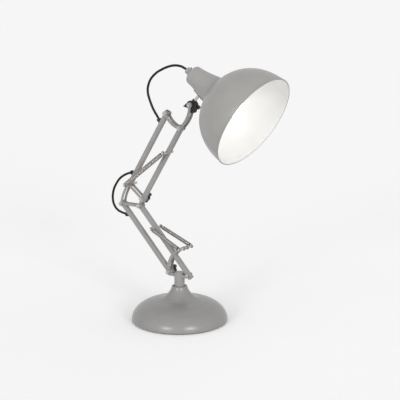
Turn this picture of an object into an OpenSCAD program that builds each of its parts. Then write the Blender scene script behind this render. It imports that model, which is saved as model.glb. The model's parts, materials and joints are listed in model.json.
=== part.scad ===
// Balanced-arm task lamp: heavy domed base, swivelling stem, two parallel-bar arms, spun shade.
// Millimetres, Z up. The origin is the middle of the base on the table top.
// The arms lie in the XZ plane with the shade towards +X, every arm pivot runs along Y,
// and the side with the single upper spring is -Y.

/* [Base] */
// Largest radius of the base
base_r = 85.6; // [75:0.2:95]
// Height of the widest edge over the table
rim_z = 3; // [2.8:0.1:4]
// Height of the dome over its widest edge, if it ran to the axis
dome_rise = 38.3; // [34:0.1:44]
// Fullness of the dome towards its middle
dome_power = 2.95; // [2.5:0.05:3.4]
// Fullness of the dome towards its edge
dome_ease = 0.49; // [0.44:0.01:0.56]
// Wall of the cast shell
shell_wall = 2; // [1.6:0.1:2.6]
// Radius where the flared neck runs out into the dome
neck_foot_r = 38; // [35:0.5:42]
// Height over which the neck starts straight down
neck_drop = 8; // [6:0.5:10]
// Length over which the neck runs out along the dome
neck_sweep = 13; // [10:0.5:16]
// Outer radius at the top of the neck
neck_top_r = 14; // [13.4:0.1:15]
// Height of the top of the neck
neck_top_z = 64; // [60:0.5:68]
// Thickness of the foot pad
pad_t = 1.5; // [1:0.1:2]
// Thickness of the closing plate
floor_t = 1.5; // [1:0.1:2]
// Distance of the cast weight from the edge of the base
weight_set = 13.6; // [12:0.2:20]
// Height of the cast weight
weight_h = 17; // [12:1:20]
// Height of the outlet bush over the table
outlet_z = 9; // [8.5:0.5:10]
// Radius of the outlet bush
outlet_r = 4.5; // [4:0.1:5]
// Turn of the outlet from the back of the base towards the far side
outlet_turn = 60; // [0:5:90]

/* [Turret] */
// Radius of the stem
stem_r = 9.3; // [8.5:0.1:9.6]
// Wall of the stem tube
stem_wall = 1.6; // [1.2:0.1:2.4]
// Height of the open top of the stem
stem_top_z = 87.4; // [87:0.2:90]
// Thickness of the stem cap
cap_t = 1.2; // [0.8:0.1:2]
// Length of the stem inside the bush
stem_depth = 24; // [18:1:26]
// Distance between the two lower pivots
pivot_gap = 41; // [38:0.5:46]
// Height of the two lower pivots
pivot_z = 86.5; // [85:0.5:88]
// Height of the middle of the strip that is let into the stem
web_z = 83.4; // [82.5:0.1:84]
// Width of the bracket strips on the stem
horn_w = 5.4; // [4.5:0.1:6]
// Radius of the curved horn
horn_r = 44; // [40:1:60]
// Spring anchor, distance forward of the stem
anchor_x = 13.4; // [11:0.2:15]
// Spring anchor, height over the table
anchor_z = 134.5; // [130:0.5:140]
// Half length of the spring anchor pin
anchor_half = 20.5; // [19.8:0.1:23]
// Distance of the lower springs from the middle at the anchor
anchor_y = 18; // [17:0.1:18.2]

/* [Lower arm] */
// Pivot to pivot length of the lower bars
lower_len = 155; // [140:1:170]
// Lean of the lower bars back from upright
lower_lean = 43.5; // [36:0.5:48]
// Width of the square tubes
bar_w = 8; // [7:0.1:8.4]
// Wall of the square tubes
bar_wall = 1; // [0.8:0.1:1.4]
// Corner radius of the square tubes
bar_round = 1.2; // [0.6:0.1:2]
// Length of a bar beyond its pivot
bar_over = 5; // [4.6:0.1:5.2]
// Length of the lower front bar beyond its lower pivot
toe_over = 5.4; // [5:0.1:6]
// Thickness of the plug in the toe of the lower front bar
plug_t = 2; // [1.4:0.1:2.4]
// Width of the plug in the toe of the lower front bar
plug_w = 8.6; // [8:0.1:9]
// Distance of the spring pins along the front bars
pin_up = 105; // [98:1:112]
// Half length of the lower spring pin
lower_pin_half = 16; // [15.8:0.1:18]
// Distance of the lower springs from the middle at the bar
lower_pin_y = 14; // [13:0.1:14.2]

/* [Elbow] */
// Upper rear pivot, distance forward of the lower rear pivot
elbow_set = 17; // [14:0.5:20]
// Upper rear pivot, height over the lower rear pivot
elbow_rise = 37.4; // [35:0.2:42]
// Slope of the line between the two upper pivots
elbow_drop = 38; // [34:0.5:42]
// Distance between the two upper pivots
upper_gap = 38.7; // [37:0.1:41]
// Width of the elbow strips
elbow_w = 4.4; // [3.6:0.1:5]
// Radius of the bowed rear strip
elbow_bow = 66; // [50:1:90]

/* [Upper arm] */
// Pivot to pivot length of the upper bars
upper_len = 157.5; // [140:0.5:175]
// Lean of the upper bars forward from upright
upper_lean = 32.5; // [28:0.5:38]
// Distance of the upper spring from the middle
upper_pin_y = 15.5; // [15:0.1:16]
// Half length of the pins that hold the upper spring
upper_pin_half = 18; // [17.8:0.1:20]
// Far end of the upper spring pin
upper_pin_far = 12; // [10:0.5:14]

/* [Head bracket] */
// Tilt pivot, distance forward of the rear head pivot
tilt_set = 52.4; // [50:0.2:54]
// Tilt pivot, height over the rear head pivot
tilt_lift = 17.3; // [16:0.1:19]
// Width of the head bracket strips
head_w = 5; // [4:0.1:5.6]
// Radius of the curved rear strip
head_rear_r = 42; // [38:1:60]
// Radius of the curved front strip
head_front_r = 52; // [48:1:70]

/* [Head joint] */
// Radius of the knuckle round the tilt bolt
knuckle_r = 7.6; // [7:0.1:7.8]
// Length of the knuckle's socket from the tilt pivot
socket_len = 8; // [7.9:0.1:9.4]
// Radius of the knuckle's socket
socket_r = 3.9; // [3.6:0.05:3.95]
// Radius of the rod
rod_r = 2.6; // [2.3:0.1:2.8]
// Distance from the tilt pivot to the socket cup
rod_reach = 25.5; // [24:0.1:27]
// Thickness of the saddle plate
saddle_t = 1.4; // [1:0.1:2]
// Length of the saddle plate
saddle_len = 20; // [16:0.5:24]
// Width of the saddle plate
saddle_w = 14; // [10:0.5:18]

/* [Shade] */
// Slope of the shade's axis below level
shade_pitch = 31; // [26:0.5:38]
// Length of the socket cup
cup_len = 58.6; // [56:0.2:62]
// Radius of the cup at its closed end
cup_tip_r = 16.5; // [16:0.1:18]
// Radius of the cup at the shade
cup_base_r = 28; // [27:0.1:30]
// Power by which the cup widens towards the shade
cup_flare = 1.53; // [1.3:0.01:1.7]
// Rounding of the cup's closed end
cup_round = 4; // [3:0.1:5]
// Distance of the rod's foot from the closed end of the cup
rod_foot = 30.6; // [28:0.2:33]
// Sheet thickness of cup and shade
sheet = 1.2; // [0.8:0.1:1.4]
// Depth of the shade from cup to rim
shade_len = 85.2; // [80:0.2:94]
// Radius of the shade at the rim
shade_r = 84.5; // [78:0.5:90]
// Fullness of the shade along its axis
shade_power = 2.16; // [1.9:0.02:2.4]
// Fullness of the shade across its axis
shade_ease = 2.2; // [2:0.05:2.4]
// Radius of the rolled rim
bead_r = 1.3; // [1:0.1:1.6]
// Length of the cord gland
gland_len = 12; // [10:0.5:14]
// Radius of the cord gland
gland_r = 6; // [5.6:0.1:7]
// Thickness of the gland washer
washer_t = 2; // [1.5:0.1:2.5]
// Radius of the lamp holder's threaded skirt
holder_r = 18.8; // [18:0.1:19.4]
// Length of the lamp holder
holder_len = 54; // [51:0.5:56]
// Radius of the bulb
bulb_r = 21; // [19:0.5:22]
// Length of the bulb beyond its cap
bulb_len = 43; // [42:0.5:48]

/* [Springs] */
// Outer radius of the lower springs
lower_coil = 3.2; // [3.1:0.05:3.4]
// Wire of the lower springs
lower_wire = 1.7; // [1.5:0.05:1.75]
// Curls of each lower spring
lower_curls = 25; // [18:1:25]
// Outer radius of the upper spring
upper_coil = 4; // [3.9:0.05:4.2]
// Wire of the upper spring
upper_wire = 1.9; // [1.6:0.05:1.95]
// Curls of the upper spring
upper_curls = 34; // [26:1:34]
// Distance from a pin to the first curl
hook_lead = 5.6; // [5.4:0.1:7]

/* [Cord] */
// Radius of the flex
cord_r = 2.1; // [1.8:0.1:2.4]
// Radius of the cord bushes
bush_r = 3.2; // [2.9:0.1:3.4]
// Length of the cord bushes over the bar
bush_out = 6.5; // [6:0.1:8]
// Radius of the collar of the cord bushes
collar_r = 4; // [3.6:0.1:4.2]
// Length of the collar of the cord bushes
collar_h = 2.8; // [2:0.1:3.4]

/* [Plates and bolts] */
// Thickness of the bracket plates
plate_t = 1.4; // [1:0.1:1.8]
// Radius of the rounded plate ends
lobe_r = 4.7; // [4.5:0.1:5.6]
// Radius of the plate ends at the toe of the lower front bar
toe_lobe_r = 3.7; // [3.6:0.1:4]
// Radius of the low round heads at the toe
toe_head_r = 2.9; // [2.7:0.1:3.1]
// Height of the low round heads at the toe
toe_head_h = 1.3; // [1:0.1:1.6]
// Radius of the pivot bolts
bolt_r = 2; // [1.8:0.1:2.2]
// Radius of the long elbow pin and of the upper spring pin
long_pin_r = 2.5; // [2.3:0.1:2.7]
// Radius across the corners of the bolt heads
head_r = 3.7; // [3.4:0.1:4.2]
// Height of a bolt head with its washer
head_h = 3.9; // [3.4:0.1:5]
// Height of a far nut with its washer
nut_h = 3.3; // [2.8:0.1:4]
// Length of a bolt beyond its head or nut
bolt_end = 0.6; // [0.4:0.1:1]
// Radius of the washers
disc_r = 4.2; // [4:0.1:4.6]
// Height of the washers
disc_t = 0.9; // [0.8:0.1:1.2]
// Reach of the wing nuts from their axis
wing_reach = 10.4; // [10:0.1:11.2]
// Hub radius of the wing nuts
wing_hub = 4.8; // [4.2:0.1:5]
// Hub height of the wing nuts
wing_h = 7.6; // [7:0.1:8.4]
// Radius of the ears
wing_ear = 3.7; // [3.4:0.1:4]
// Thickness of the ears
wing_t = 4.4; // [3.4:0.1:4.8]

/* [Fits] */
// Radial running clearance of pivots
run = 0.06; // [0.03:0.01:0.1]
// Radial clearance of fixed pins and bushes
seat = 0.03; // [0.02:0.01:0.05]
// Side gap between moving pieces
side = 0.35; // [0.3:0.05:0.5]
// Radial gap of a spring hook round its pin
hook_gap = 0.25; // [0.15:0.05:0.3]
// Side play of a spring hook in its groove
groove_play = 0.4; // [0.3:0.05:0.5]

/* [Hidden] */

// Paints and finishes
grey = [0.62, 0.61, 0.60];
black = [0.10, 0.10, 0.10];
steel = [0.70, 0.69, 0.68];

// Smoothness of full turns and of profile curves
$fn = 64;
arc_steps = 20;
neck_steps = 14;

// Pivots as [x, z] in the plane of the arms
rear_pivot = [-pivot_gap / 2, pivot_z];
front_pivot = [pivot_gap / 2, pivot_z];
anchor = [anchor_x, anchor_z];
elbow_rear = bar_at(rear_pivot, -lower_lean, lower_len, 0);
elbow_front = bar_at(front_pivot, -lower_lean, lower_len, 0);
elbow_top = elbow_rear + [elbow_set, elbow_rise];
elbow_clamp = elbow_top + upper_gap * [cos(elbow_drop), -sin(elbow_drop)];
head_rear = bar_at(elbow_top, upper_lean, upper_len, 0);
head_front = bar_at(elbow_clamp, upper_lean, upper_len, 0);
tilt_pivot = head_rear + [tilt_set, tilt_lift];

// Faces across the arms
plate_in = bar_w / 2 + side;
plate_out = plate_in + plate_t;

// Base
pad_gap = 0.1;
shell_low = pad_t + pad_gap;
rim_round = rim_z - shell_low;
bush_wall = 1.9;
neck_bore = stem_r + bush_wall;
bush_flange = 3;
lip_t = 4;
ceiling_r = neck_bore + 2 * bush_flange;
ceiling_lift = 6.4;
ceiling_z = dome_z(neck_foot_r) + ceiling_lift;
bush_top = neck_top_z - lip_t;
stem_foot = neck_top_z - stem_depth;
weight_r = base_r - weight_set;
outlet_out = 0.5;
outlet_in = weight_set - 2 * outlet_out;

// Bushes on the bars
bush_set = 24;
top_bush_set = 22;
lower_bush_d = lower_len - bush_set;
upper_foot_d = bush_set;
upper_top_d = upper_len - top_bush_set;
lower_bush_tilt = 51;
upper_foot_tilt = -45;
upper_top_tilt = 27;
bush_in = 2;
plug_in = 2.4;

// Head
cup_widening = (cup_base_r - cup_tip_r) / cup_len;
cup_taper = atan(cup_widening * cup_flare * pow(rod_foot / cup_len, cup_flare - 1));
rod_rise = 90 - shade_pitch - cup_taper;
rod_dir = [cos(rod_rise), sin(rod_rise)];
shade_dir = [cos(shade_pitch), -sin(shade_pitch)];
shade_side = [-sin(shade_pitch), -cos(shade_pitch)];
cup_tip = tilt_pivot + rod_reach * rod_dir - rod_foot * shade_dir - cup_r(rod_foot) * shade_side;
rod_in = 5;
rod_start = socket_len - rod_in;
nut_seat = socket_len + side;
rod_nut_h = 2.6;
rod_nut_r = 4.6;
shade_lead = shade_lead_of(cup_base_r / shade_r);
holder_top = 12;
holder_step = 36;
holder_slope = 3;
holder_neck_r = 13;
holder_gap = 0.4;
cap_gap = 0.3;
cap_r = 13.2;
cap_top = 40;
cap_out = 2;
contact_r = 5;
contact_h = 2;
nipple_r = 5;
ring_r = 23.4;
ring_h = 4;
screw_r = 1.6;
screw_out = 2.6;

// Spring pins
lower_mean = lower_coil - lower_wire / 2;
upper_mean = upper_coil - upper_wire / 2;
lower_groove = lower_coil - lower_wire - hook_gap;
upper_groove = upper_coil - upper_wire - hook_gap;
lower_groove_w = lower_wire + 2 * groove_play;
upper_groove_w = upper_wire + 2 * groove_play;
lower_pin = bar_at(front_pivot, -lower_lean, pin_up, 0);
upper_pin = bar_at(elbow_clamp, upper_lean, pin_up, 0);

// Spring drawing
ring_per_curl = 8;
wire_sides = 6;
hook_turn = 250;
hook_steps = 10;

// Cord routes, as offsets from the joint that each loop hangs by
cord_sides = 8;
elbow_route = [
  [-7, 18], [-13.5, 15], [-20, 11], [-26, 6], [-31, 0], [-36, -7.5], [-39.5, -15], [-41.5, -23],
  [-42, -31], [-40.5, -39], [-36.5, -46], [-31, -51], [-24, -54]
];
head_route = [
  [32, 81.4], [23, 82.9], [14, 82.7], [5, 80.9], [-4, 78], [-12, 74.6], [-20.5, 70.4], [-28.5, 64.6],
  [-35, 58], [-39.5, 50], [-42, 41], [-41.5, 32], [-39, 24], [-35.5, 16], [-31.5, 8], [-26.5, 0.5]
];

// Point of a bar: d along it from its pivot, x across it in the plane of the arms
function bar_at(p, lean, d, x) =
  p + d * [sin(lean), cos(lean)] + x * [cos(lean), -sin(lean)];

// Outward direction of a cord bush on the outer face of a bar
function bush_dir(lean, tilt) =
  sin(tilt) * [sin(lean), cos(lean)] - cos(tilt) * [cos(lean), -sin(lean)];

// End of a cord bush, moved on by extra along its own axis
function bush_end(p, lean, d, tilt, extra) =
  bar_at(p, lean, d, -bar_w / 2) + (bush_out + extra) * bush_dir(lean, tilt);

// Height of the base dome at radius r
function dome_z(r) = rim_z + dome_rise * pow(1 - pow(r / base_r, dome_power), dome_ease);

// Slope of the base dome at radius r
function dome_slope(r) =
  let (q = pow(r / base_r, dome_power))
  -dome_rise * dome_ease * dome_power * q / r * pow(1 - q, dome_ease - 1);

// Neck of the base from its top to the dome, a curve that ends along both
function neck_at(t) =
  let (
    foot = [neck_foot_r, dome_z(neck_foot_r)],
    top = [neck_top_r, neck_top_z],
    low = foot - neck_sweep * [1, dome_slope(neck_foot_r)]
  )
  pow(1 - t, 3) * top + 3 * t * pow(1 - t, 2) * (top - [0, neck_drop])
    + 3 * t * t * (1 - t) * low + pow(t, 3) * foot;

// Radius of the socket cup at distance s from its closed end
function cup_r(s) = cup_tip_r + (cup_base_r - cup_tip_r) * pow(s / cup_len, cup_flare);

// Side line of the socket cup from s = from to s = to, grown outward
function cup_side(from, to, grow) = [
  for (i = [0:arc_steps]) let (s = from + (to - from) * i / arc_steps) [cup_r(s) + grow, s]
];

// Run-in of the shade curve that makes it start at the cup's radius
function shade_lead_of(ratio) =
  shade_len / pow(1 - pow(ratio, shade_ease), 1 / shade_power) - shade_len;

// Radius of the shade at distance t from the cup
function shade_at(t) =
  shade_r * pow(1 - pow((shade_len - t) / (shade_len + shade_lead), shade_power), 1 / shade_ease);

function unit(v) = v / norm(v);

// Inner side of a profile at a constant thickness, to the right of its run
function inner_of(line, t) = [
  for (i = [0:len(line) - 1])
    let (
      a = line[max(i - 1, 0)],
      b = line[min(i + 1, len(line) - 1)],
      d = unit(b - a)
    )
    line[i] + t * [d[1], -d[0]]
];

function backwards(list) = [for (i = [len(list) - 1:-1:0]) list[i]];

// Middle of the arc of radius r from a to b that bows to the left of the line a to b
function arc_middle(a, b, r) =
  let (h = norm(b - a) / 2, d = unit(b - a))
  (a + b) / 2 + sqrt(r * r - h * h) * [d[1], -d[0]];

// Outline of an arc strip of width w round middle m
function arc_strip(m, a, b, w) =
  let (
    r = norm(a - m),
    from = atan2(a[1] - m[1], a[0] - m[0]),
    raw = atan2(b[1] - m[1], b[0] - m[0]) - from,
    turn = raw > 180 ? raw - 360 : raw < -180 ? raw + 360 : raw,
    dirs = [for (i = [0:arc_steps]) [cos(from + turn * i / arc_steps), sin(from + turn * i / arc_steps)]]
  )
  concat([for (d = dirs) m + (r - w / 2) * d], [for (d = backwards(dirs)) m + (r + w / 2) * d]);

// Square with rounded corners
function soft_square(w, r) = [
  for (k = [0:3], i = [0:4])
    let (a = 90 * k + 22.5 * i)
    (w / 2 - r) * sqrt(2) * [cos(45 + 90 * k), sin(45 + 90 * k)] + r * [cos(a), sin(a)]
];

// Hooked spring from pin a to pin b: each item is a point and a direction square to the wire
function spring_line(a, b, mean, curls) =
  let (
    axis = unit(b - a),
    across = unit(cross([0, 1, 0], axis)),
    up = cross(axis, across),
    body = norm(b - a) - 2 * hook_lead,
    steps = curls * ring_per_curl
  )
  concat(
    [for (i = [0:hook_steps - 1])
      let (f = -hook_turn * (1 - i / hook_steps), n = cos(f) * across + sin(f) * axis)
      [a + mean * n, n]],
    [[a + mean * across, across]],
    [[a + mean * across + (hook_lead - mean) * axis, across]],
    [for (i = [1:steps - 1])
      let (f = 360 * i / ring_per_curl, n = cos(f) * across + sin(f) * up)
      [a + (hook_lead + body * i / steps) * axis + mean * n, n]],
    [[b + mean * across - (hook_lead - mean) * axis, across]],
    [[b + mean * across, across]],
    [for (i = [1:hook_steps])
      let (f = hook_turn * i / hook_steps, n = cos(f) * across + sin(f) * axis)
      [b + mean * n, n]]
  );

// Flat cord route in the plane of the arms
function cord_line(route) = [for (p = route) [[p[0], 0, p[1]], [0, 1, 0]]];

// Smallest distance between neighbouring curls of a wire
function least_gap(line, wire) = min([
  for (i = [0:len(line) - 7], j = [i + 6:min(i + 3 * ring_per_curl, len(line) - 1)])
    norm(line[i][0] - line[j][0])
]) - wire;

lower_line = spring_line(
  [anchor[0], -anchor_y, anchor[1]], [lower_pin[0], -lower_pin_y, lower_pin[1]], lower_mean, lower_curls);
lower_far_line = spring_line(
  [anchor[0], anchor_y, anchor[1]], [lower_pin[0], lower_pin_y, lower_pin[1]], lower_mean, lower_curls);
upper_line = spring_line(
  [elbow_top[0], -upper_pin_y, elbow_top[1]], [upper_pin[0], -upper_pin_y, upper_pin[1]],
  upper_mean, upper_curls);
elbow_line = cord_line(concat(
  [for (e = [0, 2 * cord_r]) bush_end(elbow_top, upper_lean, upper_foot_d, upper_foot_tilt, seat + e)],
  [for (p = elbow_route) elbow_top + p],
  [for (e = [2 * cord_r, 0]) bush_end(rear_pivot, -lower_lean, lower_bush_d, lower_bush_tilt, seat + e)]
));
head_line = cord_line(concat(
  [for (e = [0, 2 * cord_r]) cup_tip - (gland_len + seat + e) * shade_dir],
  [for (p = head_route) head_rear + p],
  [for (e = [2 * cord_r, 0]) bush_end(elbow_top, upper_lean, upper_top_d, upper_top_tilt, seat + e)]
));
echo(least_gap_lower = least_gap(lower_line, lower_wire));
echo(least_gap_upper = least_gap(upper_line, upper_wire));
echo(elbow_cord_length = route_length(elbow_line), head_cord_length = route_length(head_line));

// Length of a line of points
function route_length(line) =
  let (steps = [for (i = [1:len(line) - 1]) norm(line[i][0] - line[i - 1][0])])
  steps * [for (s = steps) 1];

// Round tube along a line of points, one closed skin
module tube(line, r, sides) {
  n = len(line);
  rings = [
    for (i = [0:n - 1])
      let (
        t = unit(line[min(i + 1, n - 1)][0] - line[max(i - 1, 0)][0]),
        u = unit(line[i][1] - (line[i][1] * t) * t),
        v = cross(t, u)
      )
      for (k = [0:sides - 1]) line[i][0] + r * (cos(360 * k / sides) * u + sin(360 * k / sides) * v)
  ];
  skin = [
    for (i = [0:n - 2], k = [0:sides - 1])
      let (a = i * sides + k, b = i * sides + (k + 1) % sides)
      each [[a, a + sides, b + sides], [a, b + sides, b]]
  ];
  first = [for (k = [1:sides - 2]) [0, k, k + 1]];
  last = [for (k = [1:sides - 2]) (n - 1) * sides * [1, 1, 1] + [0, k + 1, k]];
  polyhedron(rings, concat(skin, first, last), convexity = 10);
}

// Moves children to a pivot of the arm plane
module at(p) {
  translate([p[0], 0, p[1]]) children();
}

// Cylinder along Y at a pivot
module pin(p, r, y0, y1, sides = 64) {
  at(p) translate([0, y0, 0]) rotate([-90, 0, 0]) cylinder(h = y1 - y0, r = r, $fn = sides);
}

// Plate from a drawing in the arm plane
module plate(y0, y1) {
  translate([0, y1, 0]) rotate([90, 0, 0]) linear_extrude(y1 - y0) children();
}

// Both bracket plates by side: -1 is near, 1 is far
module side_plate(which) {
  plate(which < 0 ? -plate_out : plate_in, which < 0 ? -plate_in : plate_out) children();
}

// Straight strip between two points of the arm plane
module strip(a, b, w) {
  d = b - a;
  translate(a) rotate(atan2(d[1], d[0])) translate([0, -w / 2]) square([norm(d), w]);
}

module dot(p, r) {
  translate(p) circle(r);
}

// Frame of a bar: Z along it from its pivot, -X its outer face
module on_bar(p, lean) {
  at(p) rotate([0, lean, 0]) children();
}

// Frame of the shade: Z from the closed end of the cup to the rim, +X to the rod
module on_shade() {
  at(cup_tip) rotate([0, 90 + shade_pitch, 0]) children();
}

// Frame of the rod: Z from the tilt pivot to the cup
module on_rod() {
  at(tilt_pivot) rotate([0, 90 - rod_rise, 0]) children();
}

// Square tube with pivot holes and more cuts as children
module bar(low, high, pivots) {
  difference() {
    translate([0, 0, -low]) linear_extrude(low + high) polygon(soft_square(bar_w, bar_round));
    translate([0, 0, -low - 1]) linear_extrude(low + high + 2) square(bar_w - 2 * bar_wall, center = true);
    for (h = pivots) translate([0, 0, h[0]]) rotate([90, 0, 0])
      cylinder(h = bar_w + 2, r = h[1], center = true);
    children();
  }
}

// Cord bush with its collar in the frame of a bar
module bush_rod(d, tilt, grow) {
  translate([-bar_w / 2, 0, d]) rotate([0, tilt - 90, 0]) {
    translate([0, 0, -bush_in]) cylinder(h = bush_in + bush_out, r = bush_r + grow);
    translate([0, 0, bush_out - collar_h - grow]) cylinder(h = collar_h + grow, r = collar_r + grow);
  }
}

// Bolt across both plates with hexagon head and nut, one end left plain on request
module pivot_bolt(p, r, far_nut) {
  end = plate_out + seat;
  pin(p, r, -end - head_h - bolt_end, end + (far_nut ? nut_h + bolt_end : 0));
  pin(p, disc_r, -end - disc_t, -end);
  pin(p, head_r, -end - head_h, -end - disc_t, 6);
  if (far_nut) {
    pin(p, disc_r, end, end + disc_t);
    pin(p, head_r, end + disc_t, end + nut_h, 6);
  }
}

// Clamp bolt: plain far end for a wing nut
module clamp_bolt(p) {
  pivot_bolt(p, bolt_r, false);
  pin(p, bolt_r, plate_out, plate_out + side + wing_h + bolt_end);
}

// Wing nut on the Z axis with its seat at zero
module wing(bore, hub, h, reach, ear) {
  lift = h * 0.4 + ear;
  difference() {
    union() {
      cylinder(h = h, r1 = hub * 0.86, r2 = hub);
      plate(-wing_t / 2, wing_t / 2) for (m = [0, 1]) mirror([m, 0]) {
        polygon([
          [0, h * 0.3], [reach - ear, lift - ear * 0.9], [reach - ear, lift + ear * 0.9],
          [hub * 0.7, h * 0.94], [0, h * 0.9]
        ]);
        translate([reach - ear, lift]) circle(ear);
      }
    }
    translate([0, 0, -h]) cylinder(h = 2 * h + 2 * reach, r = bore);
  }
}

// Wing nut on a clamp bolt at the far side, ears turned by an angle
module far_wing(p, turn) {
  at(p) translate([0, plate_out + side, 0]) rotate([-90, 0, 0]) rotate([0, 0, turn])
    wing(bolt_r + run, wing_hub, wing_h, wing_reach, wing_ear);
}

// Spring pin with a groove near each listed end
module grooved_pin(p, r, y0, y1, grooves, groove_r, groove_w) {
  difference() {
    pin(p, r, y0, y1);
    for (g = grooves) difference() {
      pin(p, r + 1, g - groove_w / 2, g + groove_w / 2);
      pin(p, groove_r, g - groove_w, g + groove_w);
    }
  }
}

// Solid form of the socket cup, grown outward
module cup_body(grow) {
  rotate_extrude() polygon(concat([[0, 0]], cup_side(0, cup_len, grow), [[0, cup_len]]));
}

// Frame of the outlet of the mains lead: Z points into the base from its skin
module on_outlet() {
  rotate([0, 0, -outlet_turn]) translate([-base_r - outlet_out, 0, outlet_z])
    rotate([0, 90, 0]) children();
}

module base_shell() {
  neck = [for (i = [0:neck_steps - 1]) neck_at(i / neck_steps)];
  turn = [for (i = [0:arc_steps]) neck_foot_r + (base_r - neck_foot_r) * sin(90 * i / arc_steps)];
  skin = [for (r = turn) [r, dome_z(r)]];
  edge = [for (i = [1:6]) [base_r - rim_round, rim_z] + rim_round * [cos(15 * i), -sin(15 * i)]];
  color(grey) difference() {
    rotate_extrude() polygon(concat(
      [[neck_bore, ceiling_z], [neck_bore, neck_top_z]], neck, skin, edge,
      [[base_r - shell_wall, shell_low]],
      backwards([for (q = inner_of(skin, shell_wall)) [min(q[0], base_r - shell_wall), q[1]]]),
      [[ceiling_r, ceiling_z]]
    ));
    on_outlet() cylinder(h = outlet_in, r = outlet_r + seat);
  }
}

module base_weight() {
  low = pad_t + floor_t;
  color(black) rotate_extrude() polygon([
    [neck_bore + 2, low], [weight_r, low], [weight_r, low + weight_h * 0.3],
    [weight_r * 0.82, low + weight_h], [neck_bore + 2, low + weight_h]
  ]);
}

module bottom_plate() {
  color(black) translate([0, 0, pad_t]) cylinder(h = floor_t, r = base_r - shell_wall - seat);
}

module foot_pad() {
  color(black) cylinder(h = pad_t, r = base_r - 2 * shell_wall);
}

module neck_bush() {
  low = stem_foot - side - lip_t;
  color(black) rotate_extrude() polygon([
    [stem_r * 0.65, low], [neck_bore + bush_flange, low], [neck_bore + bush_flange, ceiling_z - seat],
    [neck_bore - seat, ceiling_z - seat], [neck_bore - seat, bush_top], [stem_r + run, bush_top],
    [stem_r + run, low + lip_t], [stem_r * 0.65, low + lip_t]
  ]);
}

module outlet_bush() {
  // the cut end of the flex stands out of its bush
  color(black) on_outlet() {
    cylinder(h = outlet_in, r = outlet_r);
    translate([0, 0, -2 * outlet_out]) cylinder(h = 4 * outlet_out, r = cord_r);
  }
}

module stem() {
  color(grey) difference() {
    translate([0, 0, stem_foot]) cylinder(h = stem_top_z - stem_foot, r = stem_r);
    translate([0, 0, stem_foot - 1]) cylinder(h = stem_top_z - stem_foot + 2, r = stem_r - stem_wall);
    for (m = [0, 1]) mirror([0, m, 0])
      translate([-stem_r - 1, plate_in - seat, web_z - horn_w / 2 - seat])
        cube([2 * stem_r + 2, plate_t + 2 * seat, horn_w + 2 * seat]);
  }
}

module stem_cap() {
  color(grey) translate([0, 0, stem_top_z]) cylinder(h = cap_t, r = stem_r);
}

module horn_drawing() {
  mid = arc_middle(rear_pivot, anchor, horn_r);
  difference() {
    union() {
      dot(rear_pivot, lobe_r);
      dot(front_pivot, toe_lobe_r);
      dot(anchor, lobe_r * 0.8);
      strip([rear_pivot[0], web_z], [front_pivot[0], web_z], horn_w);
      polygon(arc_strip(mid, rear_pivot, anchor, horn_w));
    }
    dot(rear_pivot, bolt_r + seat);
    dot(front_pivot, bolt_r + seat);
    dot(anchor, bolt_r + seat);
  }
}

module horn_plate_near() {
  color(grey) side_plate(-1) horn_drawing();
}

module horn_plate_far() {
  color(grey) side_plate(1) horn_drawing();
}

module rear_clamp_bolt() {
  color(steel) clamp_bolt(rear_pivot);
}

// Through bolt with a low round head on either plate
module front_pivot_bolt() {
  end = plate_out + seat;
  color(steel) {
    pin(front_pivot, bolt_r, -end - toe_head_h / 2, end + toe_head_h / 2);
    pin(front_pivot, toe_head_r, -end - toe_head_h, -end);
    pin(front_pivot, toe_head_r, end, end + toe_head_h);
  }
}

module spring_anchor() {
  color(steel) grooved_pin(
    anchor, bolt_r, -anchor_half, anchor_half, [-anchor_y, anchor_y], lower_groove, lower_groove_w);
}

module base_wing_nut() {
  color(black) far_wing(rear_pivot, 90);
}

module lower_rear_bar() {
  color(grey) on_bar(rear_pivot, -lower_lean)
    bar(bar_over, lower_len + bar_over, [[0, bolt_r + run], [lower_len, bolt_r + run]])
      bush_rod(lower_bush_d, lower_bush_tilt, seat);
}

module lower_cord_bush() {
  color(black) on_bar(rear_pivot, -lower_lean) bush_rod(lower_bush_d, lower_bush_tilt, 0);
}

module lower_front_bar() {
  color(grey) on_bar(front_pivot, -lower_lean)
    bar(toe_over, lower_len + bar_over,
      [[0, bolt_r + run], [pin_up, bolt_r + seat], [lower_len, bolt_r + run]]);
}

// Square plug: a flange on the end of the tube and a shank inside it
module toe_plug() {
  inner = bar_w - 2 * bar_wall - 2 * seat;
  color(grey) on_bar(front_pivot, -lower_lean) {
    translate([0, 0, -toe_over - plug_t])
      linear_extrude(plug_t - seat) polygon(soft_square(plug_w, bar_round));
    translate([0, 0, -toe_over - plug_t / 2])
      linear_extrude(plug_t / 2 + plug_in) square(inner, center = true);
  }
}

module lower_spring_pin() {
  color(steel) grooved_pin(
    lower_pin, bolt_r, -lower_pin_half, lower_pin_half, [-lower_pin_y, lower_pin_y],
    lower_groove, lower_groove_w);
}

module elbow_drawing() {
  mid = arc_middle(elbow_rear, elbow_top, elbow_bow);
  ends = [elbow_rear, elbow_front, elbow_clamp];
  difference() {
    union() {
      for (p = ends) dot(p, lobe_r);
      dot(elbow_top, lobe_r);
      strip(elbow_rear, elbow_front, elbow_w);
      strip(elbow_front, elbow_clamp, elbow_w);
      strip(elbow_clamp, elbow_top, elbow_w);
      polygon(arc_strip(mid, elbow_rear, elbow_top, elbow_w));
    }
    for (p = ends) dot(p, bolt_r + seat);
    dot(elbow_top, long_pin_r + seat);
  }
}

module elbow_plate_near() {
  color(grey) side_plate(-1) elbow_drawing();
}

module elbow_plate_far() {
  color(grey) side_plate(1) elbow_drawing();
}

module elbow_rear_bolt() {
  color(steel) pivot_bolt(elbow_rear, bolt_r, true);
}

module elbow_front_bolt() {
  color(steel) pivot_bolt(elbow_front, bolt_r, true);
}

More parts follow.
